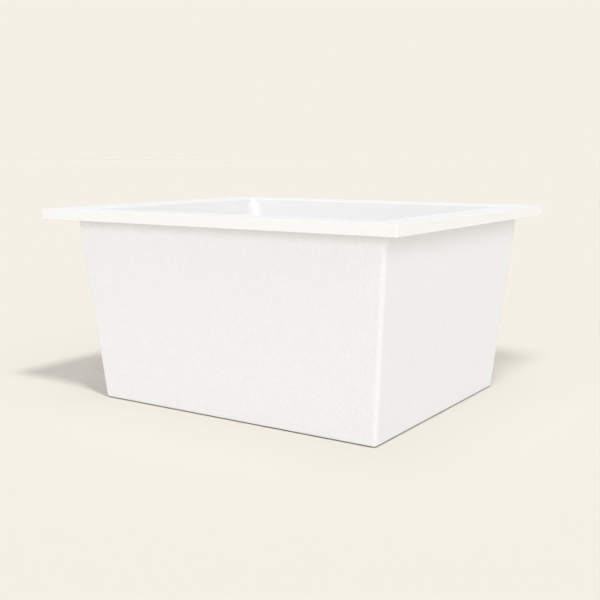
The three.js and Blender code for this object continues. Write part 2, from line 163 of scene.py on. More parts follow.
@dataclass
class LoopStack:
    """A skin through a run of level loops that all have the same number of points.

    The loops are made one above another, where each bridge is unmistakable, and then settle to their levels.

    Attributes:
        points: The number of points in every loop.
        step: The distance between the levels at which the loops are made.
        mesh: The mesh that the loops are made in.
        loops: The edges and the final level of each loop.
    """

    points: int = 64
    step: float = 0.01
    mesh: BMesh = field(default_factory=bmesh.new)
    loops: list[tuple[list[BMEdge], float]] = field(default_factory=list)

    def _next_level(self) -> float:
        """The level at which the next loop is made."""
        return self.step * len(self.loops)

    def _rounded(self, corners: list[BMVert], radius: float, z: float) -> None:
        """Rounds the corners of a new polygon and keeps its outline as a loop.

        Args:
            corners: The polygon's corners.
            radius: How far each corner is cut back along its sides.
            z: The loop's final level.
        """
        segments = self.points // len(corners) - 1
        rounded = bmesh.ops.bevel(
            self.mesh, geom=corners, offset=radius, offset_type="OFFSET", segments=segments,
            profile=0.5, affect="VERTICES", clamp_overlap=False, material=-1,
        )
        face = rounded["verts"][0].link_faces[0]
        self.loops.append((list(face.edges), z))
        bmesh.ops.delete(self.mesh, geom=[face], context="FACES_ONLY")

    def rectangle(self, plan: Plan, radius: float, z: float) -> None:
        """Adds a rounded rectangle.

        Args:
            plan: Its four sides.
            radius: Its corner radius.
            z: Its level.
        """
        middle = Vector(((plan.left + plan.right) / 2, (plan.front + plan.back) / 2, self._next_level()))
        size = Matrix.Diagonal((plan.right - plan.left, plan.back - plan.front, 1, 1))
        made = bmesh.ops.create_grid(
            self.mesh, x_segments=1, y_segments=1, size=0.5, matrix=Matrix.Translation(middle) @ size,
        )
        self._rounded(made["verts"], radius, z)

    def polygon(self, seat: Seat, sides: int, radius: float, rounding: float, z: float) -> None:
        """Adds a polygon with equal sides and rounded corners.

        Args:
            seat: The place whose axis it stands on.
            sides: The number of sides.
            radius: The distance from the axis to a sharp corner.
            rounding: How far each corner is cut back along its sides.
            z: Its level.
        """
        place = Matrix.Translation((seat.x, seat.y, self._next_level()))
        made = bmesh.ops.create_circle(self.mesh, cap_ends=True, segments=sides, radius=radius, matrix=place)
        self._rounded(made["verts"], rounding, z)

    def circle(self, seat: Seat, radius: float, z: float) -> None:
        """Adds a circle.

        Args:
            seat: The place whose axis it stands on.
            radius: Its radius.
            z: Its level.
        """
        turn = Matrix.Rotation(FULL_TURN / self.points / 2, 4, "Z")
        place = Matrix.Translation((seat.x, seat.y, self._next_level())) @ turn
        made = bmesh.ops.create_circle(
            self.mesh, cap_ends=False, segments=self.points, radius=radius, matrix=place,
        )
        edges = {edge for vert in made["verts"] for edge in vert.link_edges}
        self.loops.append((sorted(edges, key=lambda edge: edge.index), z))

    def sweep(self, plan: Plan, corner: float, z: float, reach: float, start: float, end: float,
              steps: int = 6) -> None:
        """Adds rounded rectangles along an arc, such as a cove or a rounded edge.

        Args:
            plan: The plan through the arc's centre.
            corner: The corner radius at the arc's centre.
            z: The level of the arc's centre.
            reach: The arc's radius.
            start: The first angle, from level and outward.
            end: The last angle.
            steps: The number of bands.
        """
        for step in range(steps + 1):
            angle = start + (end - start) * step / steps
            out = reach * math.cos(angle)
            self.rectangle(plan.grown(out), corner + out, z + reach * math.sin(angle))

    def skin(self, closed: bool = False) -> BMesh:
        """Bridges the loops in their order and settles them.

        Args:
            closed: Whether the last loop joins the first.

        Returns:
            The mesh.
        """
        runs = [edges for edges, _ in self.loops]
        pairs = list(zip(runs, runs[1:]))
        if closed:
            pairs.append((runs[-1], runs[0]))
        for low, high in pairs:
            bmesh.ops.bridge_loops(self.mesh, edges=low + high)
        for edges, z in self.loops:
            for vert in {vert for edge in edges for vert in edge.verts}:
                vert.co.z = z
        face_out(self.mesh)
        return self.mesh


@dataclass
class Outline:
    """The outline of a turned piece: points of radius and height, each with the rounding of its corner.

    Attributes:
        seat: The place that the outline turns round.
        points: Radius, height and rounding of each point.
        crest: The share of a thread's pitch that its crest takes.
        furrow: The shares of the pitch at which its furrow starts and ends.
    """

    seat: Seat
    points: list[tuple[float, float, float]] = field(default_factory=list)
    crest: float = 0.3
    furrow: tuple[float, float] = (0.55, 0.75)

    def to(self, radius: float, z: float, rounding: float = 0.0) -> "Outline":
        """Adds a point, with the rounding of its corner, and gives the outline back."""
        self.points.append((radius, z, rounding))
        return self

    def thread(self, radius: float, low: float, high: float, pitch: float, depth: float) -> "Outline":
        """Adds the ridges of a thread on an upright stretch.

        Args:
            radius: The radius over the ridges.
            low: The level at which the ridges start.
            high: The level at which they end, under or over the start.
            pitch: The distance between ridges.
            depth: The depth of the furrows.

        Returns:
            The outline.
        """
        turns = int(abs(high - low) / pitch)
        rise = (high - low) / turns
        for turn in range(turns):
            z = low + rise * turn
            self.to(radius, z).to(radius, z + self.crest * rise)
            for share in self.furrow:
                self.to(radius - depth, z + share * rise)
        return self.to(radius, high)

    def turned(self, steps: int = 96) -> BMesh:
        """Turns the outline about its seat's axis.

        Args:
            steps: The number of steps in a full turn.

        Returns:
            The closed mesh.
        """
        mesh = bmesh.new()
        verts = [mesh.verts.new((self.seat.x + r, self.seat.y, z)) for r, z, _ in self.points]
        ends = verts[1:] if self.points[0][0] == 0 else verts[1:] + verts[:1]
        for low, high in zip(verts, ends):
            mesh.edges.new((low, high))
        for rounding in sorted({rounding for _, _, rounding in self.points} - {0.0}):
            corners = [vert for vert, point in zip(verts, self.points) if point[2] == rounding]
            bmesh.ops.bevel(
                mesh, geom=corners, offset=rounding, offset_type="OFFSET", segments=4, profile=0.5,
                affect="VERTICES", clamp_overlap=False, material=-1,
            )
        bmesh.ops.spin(
            mesh, geom=mesh.verts[:] + mesh.edges[:], cent=(self.seat.x, self.seat.y, 0), axis=(0, 0, 1),
            dvec=(0, 0, 0), angle=FULL_TURN, steps=steps, use_merge=True, use_normal_flip=False,
            use_duplicate=False,
        )
        bmesh.ops.remove_doubles(mesh, verts=mesh.verts[:], dist=MERGE_DISTANCE)
        face_out(mesh)
        return mesh


# Finishes


class Board:
    """The node tree of one finish, with short ways to add its nodes."""

    def __init__(self, name: str) -> None:
        """Starts a material with its shader.

        Args:
            name: The material's name.
        """
        self.material = bpy.data.materials.new(name)
        self.material.use_nodes = True
        self.tree = self.material.node_tree
        self.shader = self.tree.nodes["Principled BSDF"]
        self.place = self.tree.nodes.new("ShaderNodeTexCoord").outputs["Object"]

    def join(self, source: bpy.types.NodeSocket, target: bpy.types.NodeSocket) -> None:
        """Links an output to an input."""
        self.tree.links.new(source, target)

    def set(self, **sockets: float) -> None:
        """Sets sockets of the shader, named with underscores for their spaces."""
        for name, value in sockets.items():
            self.shader.inputs[name.replace("_", " ")].default_value = value

    def mapped(self, scale: tuple[float, float, float],
               shift: tuple[float, float, float] = (0, 0, 0)) -> bpy.types.NodeSocket:
        """Object coordinates, moved and then stretched.

        Args:
            scale: The stretch along each axis.
            shift: The move along each axis.

        Returns:
            The vector socket.
        """
        node = self.tree.nodes.new("ShaderNodeMapping")
        node.inputs["Scale"].default_value = scale
        node.inputs["Location"].default_value = tuple(s * k for s, k in zip(shift, scale))
        self.join(self.place, node.inputs["Vector"])
        return node.outputs["Vector"]

    def noise(self, vector: bpy.types.NodeSocket, scale: float, detail: float = 2.0) -> bpy.types.NodeSocket:
        """Soft noise.

        Args:
            vector: Where it is read.
            scale: Its number of features in a metre.
            detail: Its number of finer layers.

        Returns:
            The value socket.
        """
        node = self.tree.nodes.new("ShaderNodeTexNoise")
        node.inputs["Scale"].default_value = scale
        node.inputs["Detail"].default_value = detail
        self.join(vector, node.inputs["Vector"])
        return node.outputs["Fac"]

    def cells(self, vector: bpy.types.NodeSocket, scale: float, softness: float) -> bpy.types.NodeSocket:
        """Rounded cells, as in pebbled plastic or foam.

        Args:
            vector: Where they are read.
            scale: The number of cells in a metre.
            softness: How far neighbouring cells run into each other.

        Returns:
            The value socket, lowest at the middle of a cell.
        """
        node = self.tree.nodes.new("ShaderNodeTexVoronoi")
        node.feature = "SMOOTH_F1"
        node.inputs["Scale"].default_value = scale
        node.inputs["Smoothness"].default_value = softness
        self.join(vector, node.inputs["Vector"])
        return node.outputs["Distance"]

    def between(self, value: bpy.types.NodeSocket, low: float, high: float) -> bpy.types.NodeSocket:
        """A value carried over from 0 to 1 to another range.

        Args:
            value: The value socket.
            low: What 0 becomes.
            high: What 1 becomes.

        Returns:
            The new value's socket.
        """
        node = self.tree.nodes.new("ShaderNodeMapRange")
        node.inputs["To Min"].default_value = low
        node.inputs["To Max"].default_value = high
        self.join(value, node.inputs["Value"])
        return node.outputs["Result"]

    def added(self, first: bpy.types.NodeSocket, second: bpy.types.NodeSocket,
              share: float) -> bpy.types.NodeSocket:
        """The first value with a share of the second added.

        Args:
            first: The first value's socket.
            second: The second value's socket.
            share: How much of the second is added.

        Returns:
            The sum's socket.
        """
        node = self.tree.nodes.new("ShaderNodeMath")
        node.operation = "MULTIPLY_ADD"
        node.inputs[1].default_value = share
        self.join(second, node.inputs[0])
        self.join(first, node.inputs[2])
        return node.outputs[0]

    def colour(self, value: bpy.types.NodeSocket, low: tuple[float, float, float],
               high: tuple[float, float, float]) -> None:
        """Colours the surface between two colours.

        Args:
            value: The place between them, from 0 to 1.
            low: The colour at 0.
            high: The colour at 1.
        """
        node = self.tree.nodes.new("ShaderNodeMix")
        node.data_type = "RGBA"
        colour_inputs = [socket for socket in node.inputs if socket.type == "RGBA"]
        for socket, colour in zip(colour_inputs, (low, high)):
            socket.default_value = (*colour, 1)
        self.join(value, node.inputs["Factor"])
        colour_output = next(socket for socket in node.outputs if socket.type == "RGBA")
        self.join(colour_output, self.shader.inputs["Base Color"])

    def rough(self, value: bpy.types.NodeSocket, low: float, high: float) -> None:
        """Varies the roughness between two values."""
        self.join(self.between(value, low, high), self.shader.inputs["Roughness"])

    def bump(self, height: bpy.types.NodeSocket, depth: float, strength: float = 1.0) -> None:
        """Raises and sinks the surface's shading.

        Args:
            height: The relief, from 0 to 1.
            depth: What 1 stands for, in metres.
            strength: The share of the relief that shows.
        """
        node = self.tree.nodes.new("ShaderNodeBump")
        node.inputs["Distance"].default_value = depth
        node.inputs["Strength"].default_value = strength
        self.join(height, node.inputs["Height"])
        self.join(node.outputs["Normal"], self.shader.inputs["Normal"])

    def from_axis(self, seat: Seat) -> bpy.types.NodeSocket:
        """The distance from a seat's axis and the height, as a vector for turned marks.

        Args:
            seat: The place whose axis the marks run round.

        Returns:
            The vector socket, with the distance along X and the height along Z.
        """
        centred = self.mapped((1, 1, 1), (-seat.x, -seat.y, 0))
        split = self.tree.nodes.new("ShaderNodeSeparateXYZ")
        flat = self.tree.nodes.new("ShaderNodeCombineXYZ")
        length = self.tree.nodes.new("ShaderNodeVectorMath")
        length.operation = "LENGTH"
        joined = self.tree.nodes.new("ShaderNodeCombineXYZ")
        self.join(centred, split.inputs[0])
        self.join(split.outputs["X"], flat.inputs["X"])
        self.join(split.outputs["Y"], flat.inputs["Y"])
        self.join(flat.outputs[0], length.inputs[0])
        self.join(length.outputs["Value"], joined.inputs["X"])
        self.join(split.outputs["Z"], joined.inputs["Z"])
        return joined.outputs[0]


@dataclass(frozen=True)
class GlossyPlastic:
    """Smooth white plastic as it comes from a polished mould, with a faint unevenness.

    Attributes:
        pale: The colour where the plastic is lightest.
        dull: The colour where it is least light.
        roughness: The least and the most roughness.
        waves: The number of broad waves in a metre.
        specks: The number of fine specks in a metre.
        relief: The height of the waves.
    """

    pale: tuple[float, float, float] = (0.867, 0.869, 0.871)
    dull: tuple[float, float, float] = (0.852, 0.854, 0.856)
    roughness: tuple[float, float] = (0.2, 0.3)
    waves: float = 9
    specks: float = 420
    relief: float = 0.0001

    def made(self) -> bpy.types.Material:
        """Builds the material.

        Returns:
            The finished material.
        """
        board = Board("glossy_plastic")
        waves = board.noise(board.place, self.waves, detail=3)
        specks = board.noise(board.place, self.specks)
        board.colour(waves, self.dull, self.pale)
        board.rough(waves, *self.roughness)
        board.set(IOR=1.5)
        board.bump(board.added(waves, specks, share=0.03), self.relief, strength=0.2)
        return board.material


@dataclass(frozen=True)
class PebbledPlastic:
    """White plastic with a fine pebble grain, about twice as tall as it is wide, and painted shade between
    the pebbles.

    Attributes:
        pale: The colour on the pebbles.
        dull: The colour between them, darker as painted shade in the hollows.
        roughness: The least and the most roughness.
        pebble: The width of a pebble.
        upright: The width of a pebble as a share of its height.
        softness: How far neighbouring pebbles run into each other.
        scatter: How much the pebbles differ in height.
        relief: The height of a pebble.
    """

    pale: tuple[float, float, float] = (0.835, 0.843, 0.86)
    dull: tuple[float, float, float] = (0.8, 0.808, 0.825)
    roughness: tuple[float, float] = (0.48, 0.62)
    pebble: float = 0.0026
    upright: float = 0.45
    softness: float = 0.6
    scatter: float = 0.5
    relief: float = 0.0006

    def made(self) -> bpy.types.Material:
        """Builds the material.

        Returns:
            The finished material.
        """
        board = Board("pebbled_plastic")
        drawn_out = board.mapped((1, 1, self.upright))
        pebbles = board.between(board.cells(drawn_out, 1 / self.pebble, self.softness), 1, 0)
        scatter = board.noise(drawn_out, 1 / self.pebble, detail=0)
        # Painted shade: the colour darkens between the pebbles, where the bump sinks.
        board.colour(pebbles, self.dull, self.pale)
        board.rough(scatter, *self.roughness)
        board.set(IOR=1.48)
        board.bump(board.added(pebbles, scatter, self.scatter), self.relief)
        return board.material


@dataclass(frozen=True)
class FoamBoard:
    """Moulded bead foam, with painted shade in the seams between the beads.

    Attributes:
        pale: The colour on the beads.
        dull: The colour in the seams between them, darker as painted shade in the grooves.
        roughness: The least and the most roughness.
        bead: The size of a bead.
        softness: How far neighbouring beads run into each other.
        relief: The depth of the seams.
    """

    pale: tuple[float, float, float] = (0.72, 0.71, 0.67)
    dull: tuple[float, float, float] = (0.5, 0.49, 0.45)
    roughness: tuple[float, float] = (0.8, 0.95)
    bead: float = 0.0045
    softness: float = 0.15
    relief: float = 0.0008

    def made(self) -> bpy.types.Material:
        """Builds the material.

        Returns:
            The finished material.
        """
        board = Board("foam_board")
        beads = board.cells(board.place, 1 / self.bead, self.softness)
        # Painted shade: the colour darkens in the seams, which the bump sinks.
        board.colour(beads, self.pale, self.dull)
        board.rough(beads, *self.roughness)
        board.bump(board.between(beads, 1, 0), self.relief, strength=0.9)
        return board.material


@dataclass(frozen=True)
class Rubber:
    """Matt dark rubber.

    Attributes:
        name: The material's name.
        pale: The colour where dust has dulled it.
        dark: The colour where it is clean.
        roughness: The least and the most roughness.
        dust: The number of dusty patches in a metre.
        grain: The number of grains of its skin in a metre.
        relief: The height of the skin's grain.
    """

    name: str
    pale: tuple[float, float, float] = (0.05, 0.05, 0.052)
    dark: tuple[float, float, float] = (0.018, 0.018, 0.02)
    roughness: tuple[float, float] = (0.6, 0.85)
    dust: float = 90
    grain: float = 1500
    relief: float = 0.0002

    def made(self) -> bpy.types.Material:
        """Builds the material.

        Returns:
            The finished material.
        """
        board = Board(self.name)
        dust = board.noise(board.place, self.dust, detail=4)
        grain = board.noise(board.place, self.grain)
        board.colour(dust, self.dark, self.pale)
        board.rough(dust, *self.roughness)
        board.bump(board.added(dust, grain, share=0.5), self.relief, strength=0.6)
        return board.material


@dataclass(frozen=True)
class Nylon:
    """Off-white moulded nylon, with a little light in it.

    Attributes:
        pale: The lighter colour.
        dull: The darker colour.
        roughness: The least and the most roughness.
        flow: The number of flow marks in a metre across.
        upright: The width of a flow mark as a share of its height.
        grain: The number of grains in a metre.
        relief: The height of the flow marks.
    """

    pale: tuple[float, float, float] = (0.72, 0.71, 0.68)
    dull: tuple[float, float, float] = (0.62, 0.61, 0.58)
    roughness: tuple[float, float] = (0.38, 0.55)
    flow: float = 60
    upright: float = 0.4
    grain: float = 900
    relief: float = 0.00025

    def made(self) -> bpy.types.Material:
        """Builds the material.

        Returns:
            The finished material.
        """
        board = Board("moulded_nylon")
        flow = board.noise(board.mapped((1, 1, self.upright)), self.flow, detail=3)
        grain = board.noise(board.place, self.grain)
        board.colour(flow, self.dull, self.pale)
        board.rough(flow, *self.roughness)
        board.set(Subsurface_Weight=0.08)
        board.bump(board.added(flow, grain, share=0.25), self.relief, strength=0.5)
        return board.material


@dataclass(frozen=True)
class TurnedSteel:
    """Stainless steel with fine marks running round an axis.

    Attributes:
        name: The material's name.
        seat: The place whose axis the marks run round.
        roughness: The least and the most roughness.
        depth: The depth of the marks.
        dark: The darker colour.
        bright: The lighter colour.
        marks: The number of marks in a metre.
        clouds: The number of cloudy patches in a metre.
    """

    name: str
    seat: Seat
    roughness: tuple[float, float]
    depth: float
    dark: tuple[float, float, float] = (0.56, 0.57, 0.58)
    bright: tuple[float, float, float] = (0.7, 0.7, 0.71)
    marks: float = 1800
    clouds: float = 45

    def made(self) -> bpy.types.Material:
        """Builds the material.

        Returns:
            The finished material.
        """
        board = Board(self.name)
        marks = board.noise(board.from_axis(self.seat), self.marks, detail=3)
        clouds = board.noise(board.place, self.clouds, detail=3)
        board.colour(board.added(clouds, marks, share=0.3), self.dark, self.bright)
        board.rough(board.added(clouds, marks, share=0.5), *self.roughness)
        board.set(Metallic=1.0)
        board.bump(marks, self.depth, strength=0.5)
        return board.material


# Placing pieces


@dataclass(frozen=True)
class Dressing:
    """What a mesh needs to become a finished piece.

    Attributes:
        body: The body that it rides on.
        slot: The record's slot for its finish; not used.
        material: Its material.
    """

    body: Body
    slot: Slot
    material: bpy.types.Material

    def piece(self, name: str, mesh: BMesh, *nodes: str, wall: float = 0.0, bevel: float = 0.0,
              crease: float = ROUND_CREASE) -> bpy.types.Object:
        """Makes a finished piece of a mesh.

        Args:
            name: The piece's name.
            mesh: Its mesh, which is freed.
            nodes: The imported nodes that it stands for.
            wall: The thickness of a sheet, or 0 for a solid.
            bevel: The width of the rounding of its sharp edges, or 0 for none.
            crease: The angle over which an edge shows as an edge.

        Returns:
            The piece.
        """
        for edge in mesh.edges:
            edge.smooth = edge.is_manifold and edge.calc_face_angle(0) < crease
        for face in mesh.faces:
            face.smooth = True
        data = bpy.data.meshes.new(name)
        mesh.to_mesh(data)
        mesh.free()
        data.materials.append(self.material)
        made = bpy.data.objects.new(name, data)
        bpy.context.scene.collection.objects.link(made)
        if wall:
            sheet = made.modifiers.new("wall", "SOLIDIFY")
            sheet.thickness = wall
            sheet.offset = -1
            sheet.use_even_offset = True
        if bevel:
            rounding = made.modifiers.new("rounded edges", "BEVEL")
            rounding.width = bevel
            rounding.segments = 2
            rounding.limit_method = "ANGLE"
            rounding.angle_limit = crease
        even = made.modifiers.new("even shading", "WEIGHTED_NORMAL")
        even.keep_sharp = not bevel
        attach(made, self.body.value)
        if nodes:
            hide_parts(*nodes)
        return made


# Sub-assemblies


@dataclass
class Shells:
    """The basin with its flange, and the outer body that it hangs in.

    Attributes:
        gloss: The basin's material.
        grain: The outer body's material.
        flange: The flange's thickness.
        flange_corner: The flange's corner radius in plan.
        shoulder_steps: The number of bands from the flange's underside to the lip.
        flange_edge: The rounding of the flange's edges.
        lean: How far the sides lean in for each metre down.
        lip_inset: The outer body's face, under the flange, to the basin's lip.
        lip_round: The rounding of the lip.
        lip_start: The angle at which that rounding starts, from level and outward.
        lip_corner: The lip's corner radius.
        shoulder_corner: The basin's corner radius at the level of the flange's underside.
        corner: The basin's corner radius at its cove.
        wall: The basin's wall.
        cove: The radius between the basin's walls and floor.
        fall: The floor's fall to the waste.
        seat_flat: The level floor round the waste's recess.
        recess_room: The recess's radius beyond the waste.
        hole_room: The waste's hole beyond its thread.
        groove_room: The room over the outer body's edge and each side of it, in its groove.
        body_wall: The outer body's wall and floor.
        body_corner: The outer body's corner radius.
        body_foot: The rounding round the outer body's base.
        access: The radius of the opening in the base.
        pad_depth: The depth of the recesses for the pads.
        pad_room: The recesses' radius beyond the pads.
        pad_steps: The number of sides of the recesses.
    """

    gloss: bpy.types.Material
    grain: bpy.types.Material
    flange: float = 0.016
    flange_corner: float = 0.0016
    shoulder_steps: int = 12
    flange_edge: float = 0.0008
    lean: float = 25 / 284
    lip_inset: float = 0.017
    lip_round: float = 0.0025
    lip_start: float = 0.9 * math.pi
    lip_corner: float = 0.006
    shoulder_corner: float = 0.02
    corner: float = 0.04
    wall: float = 0.004
    cove: float = 0.03
    fall: float = 0.004
    seat_flat: float = 0.006
    recess_room: float = 0.0005
    hole_room: float = 0.001
    groove_room: float = 0.0004
    body_wall: float = 0.005
    body_corner: float = 0.0065
    body_foot: float = 0.004
    access: float = 0.078
    pad_depth: float = 0.0025
    pad_room: float = 0.0005
    pad_steps: int = 48

    def __post_init__(self) -> None:
        """Reads the levels and plans that the shells share."""
        low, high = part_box("basin")
        self.rim = Plan.of("basin")
        self.top = high.z
        self.under = low.z
        self.flange_under = self.top - self.flange
        self.body = Seat.of("outer_body")
        self.waste = Seat.of("waste_body")
        self.seal = Seat.of("waste_seal")
        self.lean_angle = math.atan(self.lean)

    def body_plan(self, z: float) -> Plan:
        """The plan of the outer body's outer face at a level."""
        return Plan.of("outer_body").grown((z - self.body.high) * self.lean)

    def basin_plan(self, z: float) -> Plan:
        """The plan of the basin's inner face at a level."""
        lip = self.body_plan(self.flange_under).grown(-self.lip_inset)
        return lip.grown((z - self.top) * self.lean)

    def shoulder_at(self, z: float) -> float:
        """The basin's corner radius at a level beside the flange, where it opens from the lip's.

        Args:
            z: The level.

        Returns:
            The radius.
        """
        depth = (self.top - self.lip_round - z) / (self.flange - self.lip_round)
        share = depth * depth * (3 - 2 * depth)
        return self.lip_corner + (self.shoulder_corner - self.lip_corner) * share

    def _waste_seat(self, stack: LoopStack, hole: float) -> None:
        """Adds the waste's hole, its recess and the level floor round it.

        Args:
            stack: The basin's loops.
            hole: The hole's radius.
        """
        recess = self.waste.radius + self.recess_room
        recess_z = self.seal.low - self.recess_room / 2
        edge = self.flange_edge / 2
        stack.circle(self.waste, hole, recess_z)
        stack.circle(self.waste, recess, recess_z)
        stack.circle(self.waste, recess, self.waste.high - edge)
        stack.circle(self.waste, recess + edge, self.waste.high)
        stack.circle(self.waste, recess + self.seat_flat, self.waste.high)

    def _inside(self, stack: LoopStack) -> None:
        """Adds the basin's inside from the foot of its cove to its lip.

        Args:
            stack: The basin's loops.
        """
        cove_z = self.waste.high + self.fall + self.cove
        foot = self.basin_plan(cove_z - self.cove * math.sin(self.lean_angle))
        level = self.cove * math.cos(self.lean_angle)
        stack.sweep(foot.grown(-level), self.corner - level, cove_z, self.cove, -RIGHT_ANGLE,
                    -self.lean_angle, steps=14)
        lip_z = self.top - self.lip_round
        for step in range(self.shoulder_steps + 1):
            z = self.flange_under + (lip_z - self.flange_under) * step / self.shoulder_steps
            stack.rectangle(self.basin_plan(z), self.shoulder_at(z), z)
        stack.sweep(self.basin_plan(lip_z).grown(self.lip_round), self.lip_corner + self.lip_round, lip_z,
                    self.lip_round, self.lip_start, RIGHT_ANGLE)

    def _flange(self, stack: LoopStack) -> None:
        """Adds the flange's edge and underside, and the groove for the outer body's edge.

        Args:
            stack: The basin's loops.
        """
        edge = self.flange_edge
        middle = self.rim.grown(-edge)
        corner = self.flange_corner - edge
        stack.sweep(middle, corner, self.top - edge, edge, RIGHT_ANGLE, 0, steps=4)
        stack.sweep(middle, corner, self.flange_under + edge, edge, 0, -RIGHT_ANGLE, steps=4)
        groove_top = self.body.high + self.groove_room
        outer, inner = self.groove_room, -self.body_wall - self.groove_room
        for z, offset in ((self.flange_under, outer), (groove_top, outer), (groove_top, inner),
                          (self.flange_under, inner)):
            stack.rectangle(self.body_plan(z).grown(offset), self.body_corner + offset, z)

    def _outside(self, stack: LoopStack) -> None:
        """Adds the basin's outside, hidden in the outer body, down to its flat underside.

        Args:
            stack: The basin's loops.
        """
        corner = self.corner + self.wall
        top = self.basin_plan(self.flange_under).grown(self.wall)
        stack.rectangle(top, self.shoulder_corner + self.wall, self.flange_under)
        cove_z = self.under + self.cove
        foot = self.basin_plan(cove_z - self.cove * math.sin(self.lean_angle)).grown(self.wall)
        level = self.cove * math.cos(self.lean_angle)
        stack.sweep(foot.grown(-level), corner - level, cove_z, self.cove, -self.lean_angle,
                    -RIGHT_ANGLE, steps=8)

    def build_basin(self) -> bpy.types.Object:
        """Builds the basin as one closed run of loops, from the waste's hole round and back to it.

        Returns:
            The piece.
        """
        hole = self.waste.radius - Waste.flange_reach + self.hole_room
        stack = LoopStack()
        self._waste_seat(stack, hole)
        self._inside(stack)
        self._flange(stack)
        self._outside(stack)
        stack.circle(self.waste, hole, self.under)
        dressing = Dressing(Body.TUB, Slot.BASIN, self.gloss)
        return dressing.piece("basin_shell", stack.skin(closed=True), "basin")

    def _base(self, mesh: BMesh, rims: list[BMEdge]) -> None:
        """Fills the underside round the access opening and sinks the pads' recesses in it.

        Args:
            mesh: The outer body's mesh.
            rims: The edges of the foot and of the access opening.
        """
        recesses = []
        for place in Pads.places():
            pad = Seat.of(place)
            made = bmesh.ops.create_circle(
                mesh, cap_ends=False, segments=self.pad_steps, radius=pad.radius + self.pad_room,
                matrix=Matrix.Translation((pad.x, pad.y, self.body.low)),
            )
            recesses.append({edge for vert in made["verts"] for edge in vert.link_edges})
        edges = rims + [edge for recess in recesses for edge in recess]
        bmesh.ops.triangle_fill(mesh, use_beauty=True, use_dissolve=False, edges=edges, normal=(0, 0, -1))
        for recess in recesses:
            sunk = bmesh.ops.extrude_edge_only(mesh, edges=list(recess))["geom"]
            verts = [item for item in sunk if isinstance(item, BMVert)]
            bmesh.ops.translate(mesh, verts=verts, vec=(0, 0, self.pad_depth))
            tops = [item for item in sunk if isinstance(item, BMEdge)]
            bmesh.ops.holes_fill(mesh, edges=tops, sides=0)

    def build_body(self) -> bpy.types.Object:
        """Builds the outer body: up from its foot, over its top edge and down to the opening in its base.

        Returns:
            The piece.
        """
        stack = LoopStack()
        foot_z = self.body.low + self.body_foot
        foot = self.body_plan(foot_z - self.body_foot * math.sin(self.lean_angle))
        level = self.body_foot * math.cos(self.lean_angle)
        stack.sweep(foot.grown(-level), self.body_corner - level, foot_z, self.body_foot, -RIGHT_ANGLE,
                    -self.lean_angle, steps=8)
        stack.rectangle(self.body_plan(self.body.high), self.body_corner, self.body.high)
        floor_z = self.body.low + self.body_wall
        for z in (self.body.high, floor_z):
            stack.rectangle(self.body_plan(z).grown(-self.body_wall), self.body_corner - self.body_wall, z)
        stack.circle(self.waste, self.access, floor_z)
        stack.circle(self.waste, self.access, self.body.low)
        rims = stack.loops[0][0] + stack.loops[-1][0]
        mesh = stack.skin()
        self._base(mesh, rims)
        face_out(mesh)
        return Dressing(Body.TUB, Slot.OUTER_BODY, self.grain).piece("outer_shell", mesh, "outer_body")

    def build(self) -> list[bpy.types.Object]:
        """Builds both shells."""
        return [self.build_basin(), self.build_body()]


@dataclass
class Bearers:
    """The foam bearers that carry the basin's floor.

    Attributes:
        material: Their material.
        corner: The cut of their upright corners.
        edge: The rounding of their other edges.
    """

    material: bpy.types.Material
    corner: float = 0.003
    edge: float = 0.001

    def build(self) -> list[bpy.types.Object]:
        """Builds the four bearers as blocks with their corners cut.

        Returns:
            The pieces.
        """
        dressing = Dressing(Body.TUB, Slot.BEARER, self.material)
        made = []
        for side in ("front", "back", "left", "right"):
            low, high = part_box(f"{side}_bearer")
            mesh = bmesh.new()
            size = Matrix.Diagonal((*(high - low), 1))
            bmesh.ops.create_cube(mesh, size=1, matrix=Matrix.Translation((low + high) / 2) @ size)
            upright = [edge for edge in mesh.edges if abs(edge.verts[0].co.z - edge.verts[1].co.z) > 0]
            bmesh.ops.bevel(
                mesh, geom=upright, offset=self.corner, offset_type="OFFSET", segments=3, profile=0.5,
                affect="EDGES", clamp_overlap=True, material=-1,
            )
            made.append(dressing.piece(f"{side}_foam_bearer", mesh, f"{side}_bearer", bevel=self.edge))
        return made


@dataclass
class Pads:
    """The round rubber pads under the base.

    Attributes:
        material: Their material.
        edge: The rounding of their lower edge.
        furrow: The depth of the rings cut in their underside, and half their width.
        rings: Where the rings run, as shares of the pad's radius.
    """

    material: bpy.types.Material
    edge: float = 0.0008
    furrow: float = 0.0005
    rings: tuple[float, ...] = (0.25, 0.5, 0.75)

    @staticmethod
    def places() -> list[str]:
        """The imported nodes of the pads."""
        return [f"{depth}_{side}_pad" for depth in ("front", "back") for side in ("left", "right")]

    def build(self) -> list[bpy.types.Object]:
        """Builds the pads, each with ring furrows in its underside.

        Returns:
            The pieces.
        """
        dressing = Dressing(Body.TUB, Slot.PAD, self.material)
        made = []
        for node in self.places():
            seat = Seat.of(node)
            outline = Outline(seat).to(0, seat.low)
            for share in self.rings:
                radius = seat.radius * share
                outline.to(radius, seat.low).to(radius + self.furrow, seat.low + self.furrow)
                outline.to(radius + 2 * self.furrow, seat.low)
            outline.to(seat.radius, seat.low, self.edge).to(seat.radius, seat.high).to(0, seat.high)
            made.append(dressing.piece(f"{node}_round", outline.turned(steps=48), node))
        return made


